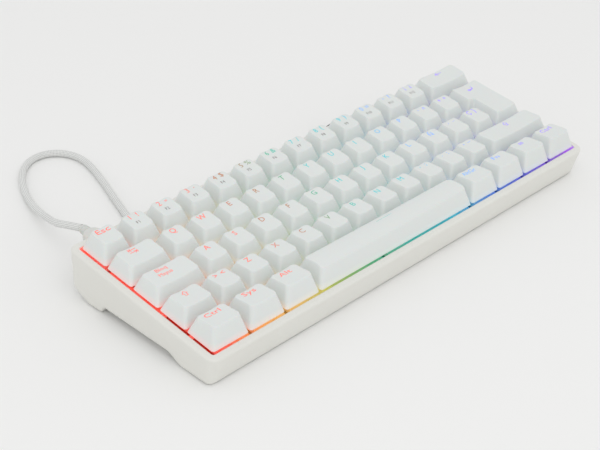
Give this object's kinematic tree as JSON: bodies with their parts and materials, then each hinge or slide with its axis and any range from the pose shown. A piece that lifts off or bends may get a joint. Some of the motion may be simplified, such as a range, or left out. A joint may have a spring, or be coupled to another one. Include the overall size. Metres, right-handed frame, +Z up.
{
  "type": "mechanical keyboard",
  "caption": "Compact white mechanical keyboard: wedge tray, sculpted keycaps on sprung switches, stabilised wide keys, rubber feet and a braided plug-in USB cable.",
  "frame": {"origin": "centre of the keyboard's own footprint (without its cable), on the table", "axes": "+X to the typist's right, +Y away from the typist, +Z up"},
  "size_m": [0.2946, 0.2239, 0.0386],
  "materials": {
    "case_plastic": "fine moulded texture, off-white ABS",
    "keycap": "double-shot ABS, satin",
    "plate_steel": "powder-coated sheet",
    "board": "solder-resist lacquer",
    "chip": "moulded epoxy",
    "lamp": "clear resin lamp",
    "switch_base": "nylon",
    "switch_top": "translucent polycarbonate",
    "spring_steel": "drawn wire",
    "stabiliser": "moulded nylon",
    "plug_steel": "nickel-plated",
    "screw_steel": "zinc-plated",
    "foot_rubber": "matt rubber",
    "cable_boot": "soft moulded PVC",
    "cable_braid": "braided polyester sleeve",
    "tie_fabric": "hook-and-loop strap"
  },
  "bodies": {
    "case": {"board_screws": "screw_steel", "case_tray": "case_plastic", "circuit_board": "board", "controller_chip": "chip", "key_leds": "lamp", "rubber_feet": "foot_rubber", "stabiliser_housings": "stabiliser", "switch_bases": "switch_base", "switch_plate": "plate_steel", "switch_springs": "spring_steel", "switch_tops": "switch_top", "usb_c_receptacle": "plug_steel"},
    "cable": {"usb_c_plug": "plug_steel", "plug_boot": "cable_boot", "cable_run": "cable_braid", "cable_hank": "cable_braid", "hank_tie": "tie_fabric", "usb_a_plug": "cable_boot"},
    "key_a": {"key_a": "keycap"},
    "key_b": {"key_b": "keycap"},
    "key_backspace": {"key_backspace": "keycap"},
    "key_c": {"key_c": "keycap"},
    "key_caps_lock": {"key_caps_lock": "keycap"},
    "key_d": {"key_d": "keycap"},
    "key_e": {"key_e": "keycap"},
    "key_enter": {"key_enter": "keycap"},
    "key_escape": {"key_escape": "keycap"},
    "key_f": {"key_f": "keycap"},
    "key_g": {"key_g": "keycap"},
    "key_h": {"key_h": "keycap"},
    "key_i": {"key_i": "keycap"},
    "key_j": {"key_j": "keycap"},
    "key_k": {"key_k": "keycap"},
    "key_l": {"key_l": "keycap"},
    "key_left_shift": {"key_left_shift": "keycap"},
    "key_m": {"key_m": "keycap"},
    "key_n": {"key_n": "keycap"},
    "key_n_tilde": {"key_n_tilde": "keycap"},
    "key_o": {"key_o": "keycap"},
    "key_p": {"key_p": "keycap"},
    "key_q": {"key_q": "keycap"},
    "key_r": {"key_r": "keycap"},
    "key_right_shift": {"key_right_shift": "keycap"},
    "key_s": {"key_s": "keycap"},
    "key_space": {"key_space": "keycap"},
    "key_t": {"key_t": "keycap"},
    "key_tab": {"key_tab": "keycap"},
    "key_u": {"key_u": "keycap"},
    "key_v": {"key_v": "keycap"},
    "key_w": {"key_w": "keycap"},
    "key_x": {"key_x": "keycap"},
    "key_y": {"key_y": "keycap"},
    "key_z": {"key_z": "keycap"},
    "keys_numbers": {"keys_numbers": "keycap"},
    "keys_punctuation": {"keys_punctuation": "keycap"},
    "keys_modifiers": {"keys_modifiers": "keycap"},
    "backspace_wire": {"backspace_wire": "spring_steel"},
    "enter_wire": {"enter_wire": "spring_steel"},
    "right_shift_wire": {"right_shift_wire": "spring_steel"},
    "space_wire": {"space_wire": "spring_steel"}
  },
  "joints": [
    {"name": "key_a_press", "type": "slide", "parent": "case", "child": "key_a", "axis": [0, 0.1132, -0.9936], "range_m": [0, 0.004], "stiffness_N_per_m": 90, "springref_m": -0.003, "deforming": ["switch_springs"]},
    {"name": "key_b_press", "type": "slide", "parent": "case", "child": "key_b", "axis": [0, 0.1132, -0.9936], "range_m": [0, 0.004], "stiffness_N_per_m": 90, "springref_m": -0.003, "deforming": ["switch_springs"]},
    {"name": "key_backspace_press", "type": "slide", "parent": "case", "child": "key_backspace", "axis": [0, 0.1132, -0.9936], "range_m": [0, 0.004], "stiffness_N_per_m": 90, "springref_m": -0.003, "deforming": ["switch_springs"]},
    {"name": "key_c_press", "type": "slide", "parent": "case", "child": "key_c", "axis": [0, 0.1132, -0.9936], "range_m": [0, 0.004], "stiffness_N_per_m": 90, "springref_m": -0.003, "deforming": ["switch_springs"]},
    {"name": "key_caps_lock_press", "type": "slide", "parent": "case", "child": "key_caps_lock", "axis": [0, 0.1132, -0.9936], "range_m": [0, 0.004], "stiffness_N_per_m": 90, "springref_m": -0.003, "deforming": ["switch_springs"]},
    {"name": "key_d_press", "type": "slide", "parent": "case", "child": "key_d", "axis": [0, 0.1132, -0.9936], "range_m": [0, 0.004], "stiffness_N_per_m": 90, "springref_m": -0.003, "deforming": ["switch_springs"]},
    {"name": "key_e_press", "type": "slide", "parent": "case", "child": "key_e", "axis": [0, 0.1132, -0.9936], "range_m": [0, 0.004], "stiffness_N_per_m": 90, "springref_m": -0.003, "deforming": ["switch_springs"]},
    {"name": "key_enter_press", "type": "slide", "parent": "case", "child": "key_enter", "axis": [0, 0.1132, -0.9936], "range_m": [0, 0.004], "stiffness_N_per_m": 90, "springref_m": -0.003, "deforming": ["switch_springs"]},
    {"name": "key_escape_press", "type": "slide", "parent": "case", "child": "key_escape", "axis": [0, 0.1132, -0.9936], "range_m": [0, 0.004], "stiffness_N_per_m": 90, "springref_m": -0.003, "deforming": ["switch_springs"]},
    {"name": "key_f_press", "type": "slide", "parent": "case", "child": "key_f", "axis": [0, 0.1132, -0.9936], "range_m": [0, 0.004], "stiffness_N_per_m": 90, "springref_m": -0.003, "deforming": ["switch_springs"]},
    {"name": "key_g_press", "type": "slide", "parent": "case", "child": "key_g", "axis": [0, 0.1132, -0.9936], "range_m": [0, 0.004], "stiffness_N_per_m": 90, "springref_m": -0.003, "deforming": ["switch_springs"]},
    {"name": "key_h_press", "type": "slide", "parent": "case", "child": "key_h", "axis": [0, 0.1132, -0.9936], "range_m": [0, 0.004], "stiffness_N_per_m": 90, "springref_m": -0.003, "deforming": ["switch_springs"]},
    {"name": "key_i_press", "type": "slide", "parent": "case", "child": "key_i", "axis": [0, 0.1132, -0.9936], "range_m": [0, 0.004], "stiffness_N_per_m": 90, "springref_m": -0.003, "deforming": ["switch_springs"]},
    {"name": "key_j_press", "type": "slide", "parent": "case", "child": "key_j", "axis": [0, 0.1132, -0.9936], "range_m": [0, 0.004], "stiffness_N_per_m": 90, "springref_m": -0.003, "deforming": ["switch_springs"]},
    {"name": "key_k_press", "type": "slide", "parent": "case", "child": "key_k", "axis": [0, 0.1132, -0.9936], "range_m": [0, 0.004], "stiffness_N_per_m": 90, "springref_m": -0.003, "deforming": ["switch_springs"]},
    {"name": "key_l_press", "type": "slide", "parent": "case", "child": "key_l", "axis": [0, 0.1132, -0.9936], "range_m": [0, 0.004], "stiffness_N_per_m": 90, "springref_m": -0.003, "deforming": ["switch_springs"]},
    {"name": "key_left_shift_press", "type": "slide", "parent": "case", "child": "key_left_shift", "axis": [0, 0.1132, -0.9936], "range_m": [0, 0.004], "stiffness_N_per_m": 90, "springref_m": -0.003, "deforming": ["switch_springs"]},
    {"name": "key_m_press", "type": "slide", "parent": "case", "child": "key_m", "axis": [0, 0.1132, -0.9936], "range_m": [0, 0.004], "stiffness_N_per_m": 90, "springref_m": -0.003, "deforming": ["switch_springs"]},
    {"name": "key_n_press", "type": "slide", "parent": "case", "child": "key_n", "axis": [0, 0.1132, -0.9936], "range_m": [0, 0.004], "stiffness_N_per_m": 90, "springref_m": -0.003, "deforming": ["switch_springs"]},
    {"name": "key_n_tilde_press", "type": "slide", "parent": "case", "child": "key_n_tilde", "axis": [0, 0.1132, -0.9936], "range_m": [0, 0.004], "stiffness_N_per_m": 90, "springref_m": -0.003, "deforming": ["switch_springs"]},
    {"name": "key_o_press", "type": "slide", "parent": "case", "child": "key_o", "axis": [0, 0.1132, -0.9936], "range_m": [0, 0.004], "stiffness_N_per_m": 90, "springref_m": -0.003, "deforming": ["switch_springs"]},
    {"name": "key_p_press", "type": "slide", "parent": "case", "child": "key_p", "axis": [0, 0.1132, -0.9936], "range_m": [0, 0.004], "stiffness_N_per_m": 90, "springref_m": -0.003, "deforming": ["switch_springs"]},
    {"name": "key_q_press", "type": "slide", "parent": "case", "child": "key_q", "axis": [0, 0.1132, -0.9936], "range_m": [0, 0.004], "stiffness_N_per_m": 90, "springref_m": -0.003, "deforming": ["switch_springs"]},
    {"name": "key_r_press", "type": "slide", "parent": "case", "child": "key_r", "axis": [0, 0.1132, -0.9936], "range_m": [0, 0.004], "stiffness_N_per_m": 90, "springref_m": -0.003, "deforming": ["switch_springs"]},
    {"name": "key_right_shift_press", "type": "slide", "parent": "case", "child": "key_right_shift", "axis": [0, 0.1132, -0.9936], "range_m": [0, 0.004], "stiffness_N_per_m": 90, "springref_m": -0.003, "deforming": ["switch_springs"]},
    {"name": "key_s_press", "type": "slide", "parent": "case", "child": "key_s", "axis": [0, 0.1132, -0.9936], "range_m": [0, 0.004], "stiffness_N_per_m": 90, "springref_m": -0.003, "deforming": ["switch_springs"]},
    {"name": "key_space_press", "type": "slide", "parent": "case", "child": "key_space", "axis": [0, 0.1132, -0.9936], "range_m": [0, 0.004], "stiffness_N_per_m": 90, "springref_m": -0.003, "deforming": ["switch_springs"]},
    {"name": "key_t_press", "type": "slide", "parent": "case", "child": "key_t", "axis": [0, 0.1132, -0.9936], "range_m": [0, 0.004], "stiffness_N_per_m": 90, "springref_m": -0.003, "deforming": ["switch_springs"]},
    {"name": "key_tab_press", "type": "slide", "parent": "case", "child": "key_tab", "axis": [0, 0.1132, -0.9936], "range_m": [0, 0.004], "stiffness_N_per_m": 90, "springref_m": -0.003, "deforming": ["switch_springs"]},
    {"name": "key_u_press", "type": "slide", "parent": "case", "child": "key_u", "axis": [0, 0.1132, -0.9936], "range_m": [0, 0.004], "stiffness_N_per_m": 90, "springref_m": -0.003, "deforming": ["switch_springs"]},
    {"name": "key_v_press", "type": "slide", "parent": "case", "child": "key_v", "axis": [0, 0.1132, -0.9936], "range_m": [0, 0.004], "stiffness_N_per_m": 90, "springref_m": -0.003, "deforming": ["switch_springs"]},
    {"name": "key_w_press", "type": "slide", "parent": "case", "child": "key_w", "axis": [0, 0.1132, -0.9936], "range_m": [0, 0.004], "stiffness_N_per_m": 90, "springref_m": -0.003, "deforming": ["switch_springs"]},
    {"name": "key_x_press", "type": "slide", "parent": "case", "child": "key_x", "axis": [0, 0.1132, -0.9936], "range_m": [0, 0.004], "stiffness_N_per_m": 90, "springref_m": -0.003, "deforming": ["switch_springs"]},
    {"name": "key_y_press", "type": "slide", "parent": "case", "child": "key_y", "axis": [0, 0.1132, -0.9936], "range_m": [0, 0.004], "stiffness_N_per_m": 90, "springref_m": -0.003, "deforming": ["switch_springs"]},
    {"name": "key_z_press", "type": "slide", "parent": "case", "child": "key_z", "axis": [0, 0.1132, -0.9936], "range_m": [0, 0.004], "stiffness_N_per_m": 90, "springref_m": -0.003, "deforming": ["switch_springs"]},
    {"name": "keys_numbers_press", "type": "slide", "parent": "case", "child": "keys_numbers", "axis": [0, 0.1132, -0.9936], "range_m": [0, 0.004], "stiffness_N_per_m": 1080, "springref_m": -0.003, "deforming": ["switch_springs"]},
    {"name": "keys_punctuation_press", "type": "slide", "parent": "case", "child": "keys_punctuation", "axis": [0, 0.1132, -0.9936], "range_m": [0, 0.004], "stiffness_N_per_m": 720, "springref_m": -0.003, "deforming": ["switch_springs"]},
    {"name": "keys_modifiers_press", "type": "slide", "parent": "case", "child": "keys_modifiers", "axis": [0, 0.1132, -0.9936], "range_m": [0, 0.004], "stiffness_N_per_m": 630, "springref_m": -0.003, "deforming": ["switch_springs"]},
    {"name": "backspace_wire_turn", "type": "hinge", "parent": "case", "child": "backspace_wire", "pos_m": [0.12383, 0.02965, 0.01815], "axis": [-1, 0, 0], "range_deg": [0, 25.2]},
    {"name": "right_shift_wire_turn", "type": "hinge", "parent": "case", "child": "right_shift_wire", "pos_m": [0.11668, -0.02713, 0.01168], "axis": [-1, 0, 0], "range_deg": [0, 25.2]},
    {"name": "space_wire_turn", "type": "hinge", "parent": "case", "child": "space_wire", "pos_m": [-0.01191, -0.02834, 0.01154], "axis": [1, 0, 0], "range_deg": [0, 25.2]},
    {"name": "enter_wire_turn", "type": "hinge", "parent": "case", "child": "enter_wire", "pos_m": [0.12205, 0.01012, 0.01593], "axis": [0, 0.9936, 0.1132], "range_deg": [0, 25.2]},
    {"name": "plug_pull", "type": "slide", "parent": "case", "child": "cable", "axis": [0, 0.9936, 0.1132], "range_m": [0, 0.012]}
  ],
  "couplings": [
    {"joint": "backspace_wire_turn", "follows": "key_backspace_press", "rad_per_m": 109.08},
    {"joint": "enter_wire_turn", "follows": "key_enter_press", "rad_per_m": 109.08},
    {"joint": "right_shift_wire_turn", "follows": "key_right_shift_press", "rad_per_m": 109.08},
    {"joint": "space_wire_turn", "follows": "key_space_press", "rad_per_m": 109.08}
  ]
}
